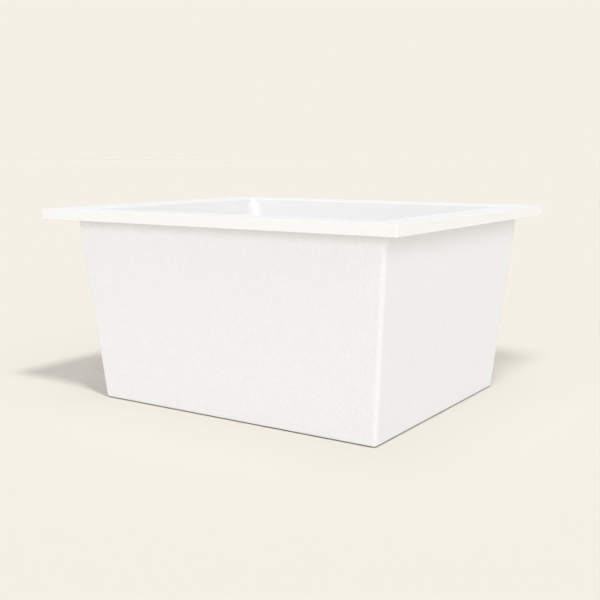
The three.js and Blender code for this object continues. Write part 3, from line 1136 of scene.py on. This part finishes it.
@dataclass
class Waste:
    """The steel waste in the basin's floor, with its seals and nuts.

    Attributes:
        steel: The waste's material.
        rubber: The seals' material.
        nylon: The nuts' material.
        flange_reach: The flange beyond the thread.
        flange_thickness: The flange's thickness.
        flange_edge: The bevel of the flange's edges.
        cup_radius: The cup's inner radius under the flange.
        cup_depth: The depth of the cup's floor under the flange.
        cup_draught: How much narrower the cup is at its floor.
        cup_corner: The rounding between the cup's wall and floor.
        cup_foot: The rounding of the cup's outside under its floor.
        wall: The thickness of the cup's floor.
        shoulder: The level of the strainer's shoulder over the flange's underside.
        lip_width: The width of that shoulder.
        soft_edge: The rounding of the flange's top, the cup's brim and the tail's mouth.
        crisp_edge: The rounding of the flange's underside and of the strainer's shoulder.
        brim_edge: The rounding half-way up the flange's edge.
        tail_radius: The tail's inner radius.
        tail_wall: The tail's wall, with its thread.
        tail_mouth: How much wider the tail is at the cup's floor.
        tail_edge: The rounding of the tail's end.
        runout: The plain stretch over the tail's thread, which is twice as long under the cup's.
        thread_reach: How far over the tail's end the cup's thread stops, beyond the cup's depth.
        thread_pitch: The distance between the ridges of both threads.
        thread_depth: The depth of their furrows.
        hole_room: The radius of the washers' holes beyond the thread.
        thread_room: The radius of the nuts' holes beyond the thread.
        washer_edge: The rounding of the washers' edges.
        lugs: The number of lugs round the lock nut.
        lug_steps: The steps of the full turn for each lug and the gap beside it.
        lug_height: How far the lugs stand out.
        lug_share: The share of the full turn that they take.
        lug_edge: The rounding of their edges.
        nut_sides: The number of sides of the tail nut.
        nut_lip: The thickness of the tail nut's lip.
        nut_wall: The tail nut's wall, at its corners.
        nut_edge: The rounding of both nuts' edges.
    """

    steel: bpy.types.Material
    rubber: bpy.types.Material
    nylon: bpy.types.Material
    flange_reach: float = 0.0115
    flange_thickness: float = 0.003
    flange_edge: float = 0.0014
    cup_radius: float = 0.041
    cup_depth: float = 0.042
    cup_draught: float = 0.001
    cup_corner: float = 0.006
    cup_foot: float = 0.002
    wall: float = 0.0025
    shoulder: float = 0.0012
    lip_width: float = 0.0055
    soft_edge: float = 0.0008
    crisp_edge: float = 0.0003
    brim_edge: float = 0.0004
    tail_radius: float = 0.0195
    tail_wall: float = 0.0044
    tail_mouth: float = 0.0025
    tail_edge: float = 0.0005
    runout: float = 0.001
    thread_reach: float = 0.01
    thread_pitch: float = 0.003
    thread_depth: float = 0.0007
    hole_room: float = 0.001
    thread_room: float = 0.0003
    washer_edge: float = 0.0004
    lugs: int = 8
    lug_steps: int = 12
    lug_height: float = 0.004
    lug_share: float = 0.4
    lug_edge: float = 0.0005
    nut_sides: int = 8
    nut_lip: float = 0.002
    nut_wall: float = 0.005
    nut_edge: float = 0.001

    def __post_init__(self) -> None:
        """Reads where the waste stands."""
        self.seat = Seat.of("waste_body")
        self.flange_z = self.seat.high - self.flange_thickness
        self.thread = self.seat.radius - self.flange_reach
        self.tail_thread = self.tail_radius + self.tail_wall

    def _flange(self, outline: Outline) -> None:
        """Adds the flange and the shoulder that the strainer's rim rests on.

        Args:
            outline: The waste's outline.
        """
        top, edge = self.seat.high, self.flange_edge
        soft, crisp = self.soft_edge, self.crisp_edge
        rest = self.cup_radius + self.lip_width
        outline.to(self.thread, self.flange_z).to(self.seat.radius, self.flange_z, crisp)
        outline.to(self.seat.radius, self.flange_z + self.flange_thickness / 2, self.brim_edge)
        outline.to(self.seat.radius - edge, top, soft).to(rest + edge, top, soft)
        outline.to(rest, top - edge, crisp).to(rest, self.flange_z + self.shoulder, crisp)
        outline.to(self.cup_radius, self.flange_z + self.shoulder, soft)

    def build_body(self) -> bpy.types.Object:
        """Turns the steel cup with its flange, its tail and their threads.

        Returns:
            The piece.
        """
        floor = self.flange_z - self.cup_depth
        low = floor - self.wall
        inner = self.cup_radius - self.cup_draught
        outline = Outline(self.seat)
        self._flange(outline)
        mouth = self.tail_radius + self.tail_mouth
        outline.to(inner, floor, self.cup_corner).to(mouth, floor, self.soft_edge)
        outline.to(self.tail_radius, low, self.soft_edge).to(self.tail_radius, self.seat.low, self.tail_edge)
        outline.thread(self.tail_thread, self.seat.low, low - self.runout, self.thread_pitch,
                       self.thread_depth)
        outline.to(self.tail_thread, low).to(self.cup_radius - self.cup_corner, low, self.cup_foot)
        outline.to(self.thread, floor + self.cup_corner, self.runout)
        thread_low = floor + self.cup_corner + 2 * self.runout
        thread_high = self.seat.low + self.cup_depth + self.thread_reach
        outline.thread(self.thread, thread_low, thread_high, self.thread_pitch, self.thread_depth)
        dressing = Dressing(Body.TUB, Slot.WASTE, self.steel)
        return dressing.piece("waste_cup", outline.turned(steps=128), "waste_body")

    def _washer(self, node: str, name: str, inner: float, dressing: Dressing) -> bpy.types.Object:
        """Turns a plain ring with rounded edges.

        Args:
            node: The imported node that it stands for.
            name: The piece's name.
            inner: Its inner radius.
            dressing: Its dressing.

        Returns:
            The piece.
        """
        seat = Seat.of(node)
        edge = self.washer_edge
        outline = Outline(seat).to(inner, seat.low, edge).to(seat.radius, seat.low, edge)
        outline.to(seat.radius, seat.high, edge).to(inner, seat.high, edge)
        return dressing.piece(name, outline.turned(), node)

    def build_lock_nut(self) -> bpy.types.Object:
        """Turns the lock nut's ring and draws its lugs out of it.

        Returns:
            The piece.
        """
        seat = Seat.of("lock_nut")
        ring = seat.radius - self.lug_height
        edge = self.nut_edge
        inner = self.thread + self.thread_room
        outline = Outline(seat).to(inner, seat.low, edge).to(ring, seat.low, edge)
        outline.to(ring, seat.high, edge).to(inner, seat.high, edge)
        steps = self.lugs * self.lug_steps
        mesh = outline.turned(steps)
        centre = Matrix.Translation((-seat.x, -seat.y, 0))
        faces = []
        for face in mesh.faces:
            point = centre @ face.calc_center_median()
            turn = int((math.atan2(point.y, point.x) % FULL_TURN) / FULL_TURN * steps)
            outward = face.normal.dot(Vector((point.x, point.y, 0)).normalized()) > SAME_DIRECTION
            if outward and turn % self.lug_steps < self.lug_share * self.lug_steps:
                faces.append(face)
        drawn = bmesh.ops.extrude_face_region(mesh, geom=faces)["geom"]
        bmesh.ops.delete(mesh, geom=faces, context="FACES")
        verts = [item for item in drawn if isinstance(item, BMVert)]
        grow = seat.radius / ring
        bmesh.ops.scale(mesh, vec=(grow, grow, 1), space=centre, verts=verts)
        face_out(mesh)
        dressing = Dressing(Body.TUB, Slot.NUT, self.nylon)
        return dressing.piece("ribbed_lock_nut", mesh, "lock_nut", bevel=self.lug_edge)

    def build_tail_nut(self) -> bpy.types.Object:
        """Builds the eight-sided nut, with a lip under its washer.

        Returns:
            The piece.
        """
        seat = Seat.of("tail_nut")
        edge = self.nut_edge
        inner = self.tail_thread + self.thread_room
        corner = inner + self.nut_wall
        lip = seat.low + self.nut_lip
        stack = LoopStack()
        stack.circle(seat, self.tail_radius, lip)
        stack.circle(seat, self.tail_radius, seat.low)
        for radius, z in ((corner - edge, seat.low), (corner, seat.low + edge), (corner, seat.high - edge),
                          (corner - edge, seat.high)):
            stack.polygon(seat, self.nut_sides, radius, 2 * edge, z)
        stack.circle(seat, inner + edge / 2, seat.high)
        stack.circle(seat, inner, seat.high - edge / 2)
        stack.circle(seat, inner, lip)
        dressing = Dressing(Body.TUB, Slot.NUT, self.nylon)
        mesh = stack.skin(closed=True)
        return dressing.piece("tail_nut_moulding", mesh, "tail_nut", crease=FACETED_CREASE)

    def build(self) -> list[bpy.types.Object]:
        """Builds the waste from its cup down.

        Returns:
            The pieces.
        """
        rubber = Dressing(Body.TUB, Slot.SEAL, self.rubber)
        nylon = Dressing(Body.TUB, Slot.NUT, self.nylon)
        hole = self.thread + self.hole_room
        return [
            self.build_body(),
            self._washer("waste_seal", "flange_seal", hole, rubber),
            self._washer("floor_washer", "thick_washer", hole, rubber),
            self._washer("slip_ring", "thin_slip_ring", hole, nylon),
            self.build_lock_nut(),
            self._washer("tail_washer", "tail_seal", self.tail_radius, rubber),
            self.build_tail_nut(),
        ]


@dataclass
class Basket:
    """The lift-out strainer: a pressed steel cup with holes and slots, and the hub that guides its post.

    Attributes:
        steel: The basket's material.
        rubber: The hub ring's material.
        sheet: The steel's thickness.
        wall_inset: The rim's edge to the wall.
        corner: The radius of the bend round the floor, and twice that of the bend under the rim.
        corner_steps: The number of bands round the floor's bend.
        hub_radius: The hub's radius.
        hub_height: The hub's height over the floor.
        hub_steps: The number of sides of the hole that the hub stands in.
        hub_edge: The rounding round the hub's top.
        crisp_edge: The rounding round its underside.
        step_edge: The rounding over the ring's step.
        post_room: The radius of the hub's hole.
        ring_width: The hub's step for the ring, beyond that hole.
        ring_height: The ring's height.
        ring_round: The rounding of the ring's corners, as a share of half its height.
        rest_gap: The gap between pieces that rest together.
        slots: The number of slots in the wall.
        slot_steps: The steps of the full turn for each slot and the wall beside it.
        slot_tip: How far the round ends of a slot reach.
        hole_radius: The radius of the holes in the floor.
        hole_steps: The number of sides that a hole is made of.
        hole_rows: The holes in each row, from the hub out.
    """

    steel: bpy.types.Material
    rubber: bpy.types.Material
    sheet: float = 0.0012
    wall_inset: float = 0.0065
    corner: float = 0.003
    corner_steps: int = 5
    hub_radius: float = 0.008
    hub_height: float = 0.0034
    hub_steps: int = 48
    hub_edge: float = 0.001
    crisp_edge: float = 0.0003
    step_edge: float = 0.0002
    post_room: float = 0.0034
    ring_width: float = 0.0017
    ring_height: float = 0.0018
    ring_round: float = 0.7
    rest_gap: float = 0.0003
    slots: int = 20
    slot_steps: int = 8
    slot_tip: float = 0.0009
    hole_radius: float = 0.0022
    hole_steps: int = 14
    hole_rows: tuple[int, ...] = (8, 14, 20)

    def __post_init__(self) -> None:
        """Reads where the basket stands."""
        self.seat = Seat.of("strainer_basket")
        self.radius = self.seat.radius - self.wall_inset
        self.rim_z = self.seat.high - self.sheet
        self.steps = self.slots * self.slot_steps

    def _floor(self, mesh: BMesh) -> None:
        """Fills the floor's sheet between its edge, its holes and the hub.

        Args:
            mesh: The sheet's mesh.
        """
        low = self.seat.low
        edge = self.radius - self.corner
        middle = Matrix.Translation((self.seat.x, self.seat.y, low))
        rims = [
            bmesh.ops.create_circle(mesh, cap_ends=False, segments=self.steps, radius=edge, matrix=middle),
            bmesh.ops.create_circle(mesh, cap_ends=False, segments=self.hub_steps,
                                    radius=self.hub_radius - self.rest_gap, matrix=middle),
        ]
        span = edge - self.sheet - self.hub_radius
        for row, count in enumerate(self.hole_rows):
            row_radius = self.hub_radius + span * (row + 0.5) / len(self.hole_rows)
            for hole in range(count):
                turn = Matrix.Rotation(FULL_TURN * hole / count, 4, "Z")
                place = middle @ turn @ Matrix.Translation((row_radius, 0, 0))
                rims.append(bmesh.ops.create_circle(
                    mesh, cap_ends=False, segments=self.hole_steps, radius=self.hole_radius, matrix=place,
                ))
        edges = {edge for rim in rims for vert in rim["verts"] for edge in vert.link_edges}
        bmesh.ops.triangle_fill(
            mesh, use_beauty=True, use_dissolve=False, edges=sorted(edges, key=lambda e: e.index),
            normal=(0, 0, -1),
        )

    def _wall(self, mesh: BMesh) -> tuple[float, float]:
        """Spins the sheet's wall and rim.

        Args:
            mesh: The sheet's mesh.

        Returns:
            The lowest and the highest level of the slots.
        """
        low, x, y = self.seat.low, self.seat.x, self.seat.y
        slot_low = low + self.sheet + 2 * self.corner
        slot_high = self.rim_z - self.corner
        levels = [(self.radius - self.corner, low)]
        for step in range(1, self.corner_steps):
            angle = RIGHT_ANGLE * step / self.corner_steps
            levels.append((self.radius - self.corner * (1 - math.sin(angle)),
                           low + self.corner * (1 - math.cos(angle))))
        levels += [(self.radius, low + self.corner), (self.radius, slot_low), (self.radius, slot_high)]
        bend = self.corner / 2
        inset = bend * 0.3  # from the bend's middle to the wall's line and to the rim's
        levels += [(self.radius, self.rim_z - bend), (self.radius + inset, self.rim_z - inset),
                   (self.radius + bend, self.rim_z), (self.seat.radius, self.rim_z)]
        verts = [mesh.verts.new((x + r, y, z)) for r, z in levels]
        edges = [mesh.edges.new(pair) for pair in zip(verts, verts[1:])]
        bmesh.ops.spin(
            mesh, geom=verts + edges, cent=(x, y, 0), axis=(0, 0, 1), dvec=(0, 0, 0), angle=FULL_TURN,
            steps=self.steps, use_merge=True, use_normal_flip=False, use_duplicate=False,
        )
        return slot_low, slot_high

    def _step_of(self, point: Vector) -> float:
        """The step of the full turn that a point lies at."""
        angle = math.atan2(point.y - self.seat.y, point.x - self.seat.x) % FULL_TURN
        return angle / FULL_TURN * self.steps

    def _cut_slots(self, mesh: BMesh, low: float, high: float) -> None:
        """Takes the slots out of the wall and rounds their ends.

        Args:
            mesh: The sheet's mesh.
            low: The slots' lowest level.
            high: Their highest level.
        """
        middle = self.slot_steps // 2
        waste = []
        for face in mesh.faces:
            point = face.calc_center_median()
            if low < point.z < high and int(self._step_of(point)) % self.slot_steps in (middle - 1, middle):
                waste.append(face)
        bmesh.ops.delete(mesh, geom=waste, context="FACES")
        for level, tip in ((low, -self.slot_tip), (high, self.slot_tip)):
            ends = [
                vert for vert in mesh.verts
                if abs(vert.co.z - level) < MERGE_DISTANCE
                and round(self._step_of(vert.co)) % self.slot_steps == middle
            ]
            bmesh.ops.translate(mesh, verts=ends, vec=(0, 0, tip))

    def build_cup(self) -> bpy.types.Object:
        """Builds the basket's sheet and gives it its thickness.

        Returns:
            The piece.
        """
        mesh = bmesh.new()
        self._floor(mesh)
        low, high = self._wall(mesh)
        bmesh.ops.remove_doubles(mesh, verts=mesh.verts[:], dist=10 * MERGE_DISTANCE)
        self._cut_slots(mesh, low, high)
        bmesh.ops.recalc_face_normals(mesh, faces=mesh.faces[:])
        rim = max(mesh.faces, key=lambda face: face.calc_center_median().z)
        if rim.normal.z > 0:
            bmesh.ops.reverse_faces(mesh, faces=mesh.faces[:])
        dressing = Dressing(Body.STRAINER, Slot.STRAINER, self.steel)
        return dressing.piece("strainer_cup", mesh, "strainer_basket", wall=self.sheet)

    def build_hub(self) -> bpy.types.Object:
        """Turns the hub with the step that its rubber ring lies in.

        Returns:
            The piece.
        """
        seat = self.seat
        top = seat.low + self.sheet + self.hub_height
        step = top - self.ring_height - self.rest_gap
        wide = self.post_room + self.ring_width
        outline = Outline(seat)
        for radius in (self.post_room, self.hub_radius):
            outline.to(radius, seat.low, self.crisp_edge)
        outline.to(self.hub_radius, top, self.hub_edge).to(wide, top, self.step_edge)
        outline.to(wide, step).to(self.post_room, step)
        dressing = Dressing(Body.STRAINER, Slot.STRAINER, self.steel)
        return dressing.piece("strainer_hub", outline.turned(steps=64))

    def build_ring(self) -> bpy.types.Object:
        """Turns the round-sectioned rubber ring in the hub.

        Returns:
            The piece.
        """
        seat = Seat.of("hub_ring")
        half = (seat.high - seat.low) / 2
        inner = self.post_room - self.rest_gap / 3
        outline = Outline(seat)
        for radius, z in ((inner, seat.low), (seat.radius, seat.low), (seat.radius, seat.high),
                          (inner, seat.high)):
            outline.to(radius, z, half * self.ring_round)
        dressing = Dressing(Body.STRAINER, Slot.SEAL, self.rubber)
        return dressing.piece("hub_seal_ring", outline.turned(steps=64), "hub_ring")

    def build(self) -> list[bpy.types.Object]:
        """Builds the basket, its hub and its ring."""
        return [self.build_cup(), self.build_hub(), self.build_ring()]


@dataclass
class Plunger:
    """The post that slides in the basket's hub, with its knob, its stopper and its nut.

    Attributes:
        steel: The material of the post, the knob and the nut.
        rubber: The stopper's material.
        tip_edge: The rounding of the post's ends.
        thread_pitch: The distance between the ridges of the post's thread.
        thread_depth: The depth of its furrows.
        post_gap: The gap between the post and what it carries.
        knob_socket: The depth of the post's hole in the knob, as a share of the knob's height.
        socket_edge: The rounding of that hole's mouth.
        knob_foot: Radius beyond the post, share of the knob's height and rounding at its foot and waist.
        knob_head: Radius and height, as shares of the knob's, and rounding of each point of its head.
        knob_crease: The angle over which an edge of the knob shows as an edge.
        stopper_edge: The rounding of the stopper's edges, and three times the depth of the dish in its top.
        stopper_dish: The dish's radius at its rim and at its floor, as shares of the stopper's.
        nut_sides: The number of sides of the nut.
        nut_edge: The rounding of its edges.
    """

    steel: bpy.types.Material
    rubber: bpy.types.Material
    tip_edge: float = 0.0006
    thread_pitch: float = 0.001
    thread_depth: float = 0.00035
    post_gap: float = 0.0003
    knob_socket: float = 0.5
    socket_edge: float = 0.0003
    knob_foot: tuple[tuple[float, float, float], ...] = ((0.002, 0, 0.0005), (0.0012, 0.27, 0.0015))
    knob_head: tuple[tuple[float, float, float], ...] = (
        (0.86, 0.53, 0.0012), (1, 0.62, 0.0009), (1, 0.78, 0.0012), (0.84, 0.93, 0.0012), (0.4, 1, 0.002),
    )
    knob_crease: float = math.radians(50)
    stopper_edge: float = 0.0015
    stopper_dish: tuple[float, float] = (0.6, 0.57)
    nut_sides: int = 6
    nut_edge: float = 0.0006

    def __post_init__(self) -> None:
        """Reads where the post stands."""
        self.post = Seat.of("strainer_post")
        self.neck = self.post.radius + self.post_gap
        self.metal = Dressing(Body.PLUNGER, Slot.STRAINER, self.steel)

    def build_post(self) -> bpy.types.Object:
        """Turns the post, threaded where its nut sits.

        Returns:
            The piece.
        """
        post = self.post
        nut = Seat.of("post_nut")
        outline = Outline(post).to(0, post.low).to(post.radius, post.low, self.tip_edge)
        outline.thread(post.radius, post.low + self.tip_edge * 1.5, nut.high, self.thread_pitch,
                       self.thread_depth)
        outline.to(post.radius, post.high, self.tip_edge).to(0, post.high)
        return self.metal.piece("plunger_post", outline.turned(steps=48), "strainer_post")

    def build_knob(self) -> bpy.types.Object:
        """Turns the knob: a waist for the fingers under a domed head.

        Returns:
            The piece.
        """
        seat = Seat.of("strainer_knob")
        height = seat.high - seat.low
        socket = seat.low + height * self.knob_socket + self.post_gap
        outline = Outline(seat).to(0, socket).to(self.neck, socket)
        outline.to(self.neck, seat.low, self.socket_edge)
        for beyond, rise, rounding in self.knob_foot:
            outline.to(self.post.radius + beyond, seat.low + rise * height, rounding)
        for share, rise, rounding in self.knob_head:
            outline.to(seat.radius * share, seat.low + rise * height, rounding)
        outline.to(0, seat.high)
        mesh = outline.turned(steps=72)
        return self.metal.piece("finger_knob", mesh, "strainer_knob", crease=self.knob_crease)

    def build_stopper(self) -> bpy.types.Object:
        """Turns the rubber stopper.

        Returns:
            The piece.
        """
        seat = Seat.of("stopper")
        edge = self.stopper_edge
        dish_rim, dish_floor = (seat.radius * share for share in self.stopper_dish)
        dish_z = seat.high - edge / 3
        outline = Outline(seat).to(self.neck, seat.low).to(seat.radius, seat.low, edge)
        outline.to(seat.radius, seat.high, edge).to(dish_rim, seat.high)
        outline.to(dish_floor, dish_z).to(self.neck, dish_z)
        dressing = Dressing(Body.PLUNGER, Slot.SEAL, self.rubber)
        return dressing.piece("rubber_stopper", outline.turned(), "stopper")

    def build_nut(self) -> bpy.types.Object:
        """Builds the six-sided nut under the stopper.

        Returns:
            The piece.
        """
        seat = Seat.of("post_nut")
        edge = self.nut_edge
        stack = LoopStack(points=60)
        stack.circle(seat, self.neck, seat.low)
        for radius, z in ((seat.radius - edge, seat.low), (seat.radius, seat.low + edge / 2),
                          (seat.radius, seat.high - edge / 2), (seat.radius - edge, seat.high)):
            stack.polygon(seat, self.nut_sides, radius, edge, z)
        stack.circle(seat, self.neck, seat.high)
        return self.metal.piece("hex_nut", stack.skin(closed=True), "post_nut", crease=FACETED_CREASE)

    def build(self) -> list[bpy.types.Object]:
        """Builds the plunger from its knob down."""
        return [self.build_knob(), self.build_post(), self.build_stopper(), self.build_nut()]


@dataclass(frozen=True)
class SoftLight:
    """A broad, distant light.

    Attributes:
        name: Its name.
        level: The brightness that it adds to a white level surface.
        turn: Its azimuth from -Y towards +X.
        rise: Its height over the horizon.
        spread: The angle that it covers.
        floor_only: Whether it lights the floor alone.
    """

    name: str
    level: float
    turn: float
    rise: float
    spread: float
    floor_only: bool = False


@dataclass
class Studio:
    """A plain pale floor under soft light, and the camera.

    Attributes:
        backdrop: The backdrop's and the floor's colour as seen.
        horizon: The brightness of the sky at the horizon.
        zenith: The brightness of the sky overhead.
        lights: The broad lights.
        lens: The camera's focal length, in millimetres.
        sensor: The width of its sensor, in millimetres.
        azimuth: The camera's azimuth from -Y towards +X.
        elevation: Its height over the horizon.
        distance: Its distance from the point that it looks at.
        aim: That point.
        floor_size: Half the floor's side.
    """

    backdrop: tuple[float, float, float] = (0.913, 0.871, 0.791)
    horizon: float = 1.0
    zenith: float = 0.42
    lights: tuple[SoftLight, ...] = (
        SoftLight("top_light", 0.3, 0, math.radians(89), math.radians(40)),
        SoftLight("side_light", 0.105, math.radians(70), math.radians(40), math.radians(30)),
        SoftLight("front_light", 0.071, math.radians(28), math.radians(16), math.radians(24)),
        SoftLight("floor_side_light", 1.05, math.radians(63), math.radians(55), math.radians(8), True),
        SoftLight("floor_front_light", 1.0, math.radians(22), math.radians(50), math.radians(15), True),
    )
    lens: float = 55.87
    sensor: float = 36
    azimuth: float = math.radians(33.255)
    elevation: float = math.radians(8.775)
    distance: float = 1.5058
    aim: tuple[float, float, float] = (0, 0, 0.151)
    floor_size: float = 120

    @staticmethod
    def _towards(turn: float, rise: float) -> Vector:
        """The direction to something at an azimuth and a height over the horizon."""
        return Vector((math.sin(turn) * math.cos(rise), -math.cos(turn) * math.cos(rise), math.sin(rise)))

    def build_floor(self) -> bpy.types.Object:
        """Lays the floor, whose colour under all the lights is the backdrop's.

        Returns:
            The floor.
        """
        mesh = bmesh.new()
        bmesh.ops.create_grid(mesh, x_segments=1, y_segments=1, size=self.floor_size)
        data = bpy.data.meshes.new("studio_floor")
        mesh.to_mesh(data)
        mesh.free()
        board = Board("studio_floor")
        sky = (self.horizon + 2 * self.zenith) / 3
        light = sky + sum(light.level for light in self.lights)
        colour = tuple(channel / light for channel in self.backdrop)
        board.shader.inputs["Base Color"].default_value = (*colour, 1)
        board.set(Roughness=1.0, Specular_IOR_Level=0.0)
        data.materials.append(board.material)
        floor = bpy.data.objects.new("studio_floor", data)
        bpy.context.scene.collection.objects.link(floor)
        return floor

    def build_sky(self) -> None:
        """Lights the scene from a sky that is brightest at the horizon, and shows the backdrop's colour."""
        world = bpy.data.worlds.new("studio")
        world.use_nodes = True
        nodes, links = world.node_tree.nodes, world.node_tree.links
        direction = nodes.new("ShaderNodeTexCoord")
        split = nodes.new("ShaderNodeSeparateXYZ")
        rise = nodes.new("ShaderNodeMapRange")
        rise.inputs["To Min"].default_value = self.horizon
        rise.inputs["To Max"].default_value = self.zenith
        sky = nodes["Background"]
        sky.inputs["Color"].default_value = (1, 1, 1, 1)
        seen = nodes.new("ShaderNodeBackground")
        seen.inputs["Color"].default_value = (*self.backdrop, 1)
        path = nodes.new("ShaderNodeLightPath")
        choice = nodes.new("ShaderNodeMixShader")
        links.new(direction.outputs["Generated"], split.inputs[0])
        links.new(split.outputs["Z"], rise.inputs["Value"])
        links.new(rise.outputs["Result"], sky.inputs["Strength"])
        links.new(path.outputs["Is Camera Ray"], choice.inputs["Fac"])
        links.new(sky.outputs["Background"], choice.inputs[1])
        links.new(seen.outputs["Background"], choice.inputs[2])
        links.new(choice.outputs["Shader"], nodes["World Output"].inputs["Surface"])
        bpy.context.scene.world = world

    def build_lights(self, floor: bpy.types.Object) -> None:
        """Adds the broad lights.

        Args:
            floor: The floor, which some of them light alone.
        """
        lit_alone = bpy.data.collections.new("lit_alone")
        lit_alone.objects.link(floor)
        for soft in self.lights:
            light = bpy.data.lights.new(soft.name, "SUN")
            light.energy = soft.level * math.pi / math.sin(soft.rise)
            light.angle = soft.spread
            lamp = bpy.data.objects.new(soft.name, light)
            lamp.rotation_euler = self._towards(soft.turn, soft.rise).to_track_quat("Z", "Y").to_euler()
            if soft.floor_only:
                lamp.light_linking.receiver_collection = lit_alone
            bpy.context.scene.collection.objects.link(lamp)

    def build_camera(self) -> None:
        """Places the camera."""
        data = bpy.data.cameras.new("camera")
        data.sensor_width = self.sensor
        data.lens = self.lens
        data.clip_start = 0.01
        data.clip_end = 4 * self.floor_size
        camera = bpy.data.objects.new("camera", data)
        back = self._towards(self.azimuth, self.elevation)
        camera.location = Vector(self.aim) + back * self.distance
        camera.rotation_euler = back.to_track_quat("Z", "Y").to_euler()
        bpy.context.scene.collection.objects.link(camera)
        bpy.context.scene.camera = camera

    def build(self) -> None:
        """Builds the floor, the lights and the camera."""
        bpy.context.scene.view_settings.view_transform = "Standard"
        floor = self.build_floor()
        self.build_sky()
        self.build_lights(floor)
        self.build_camera()


def main() -> None:
    """Builds the wash tub and its studio, and reports each piece."""
    logging.basicConfig(level=logging.INFO, format="%(name)s: %(message)s")
    waste = Seat.of("waste_body")
    seal_rubber = Rubber("seal_rubber").made()
    brushed = TurnedSteel("brushed_steel", waste, (0.22, 0.4), depth=0.00003).made()
    polished = TurnedSteel("polished_steel", waste, (0.12, 0.24), depth=0.00001).made()
    parts = [
        Shells(GlossyPlastic().made(), PebbledPlastic().made()),
        Bearers(FoamBoard().made()),
        Pads(Rubber("pad_rubber").made()),
        Waste(brushed, seal_rubber, Nylon().made()),
        Basket(polished, seal_rubber),
        Plunger(polished, seal_rubber),
    ]
    for part in parts:
        for made in part.build():
            log.info("%s: %s, %d faces", type(part).__name__, made.name, len(made.data.polygons))
    Studio().build()


if __name__ == "__main__":
    main()
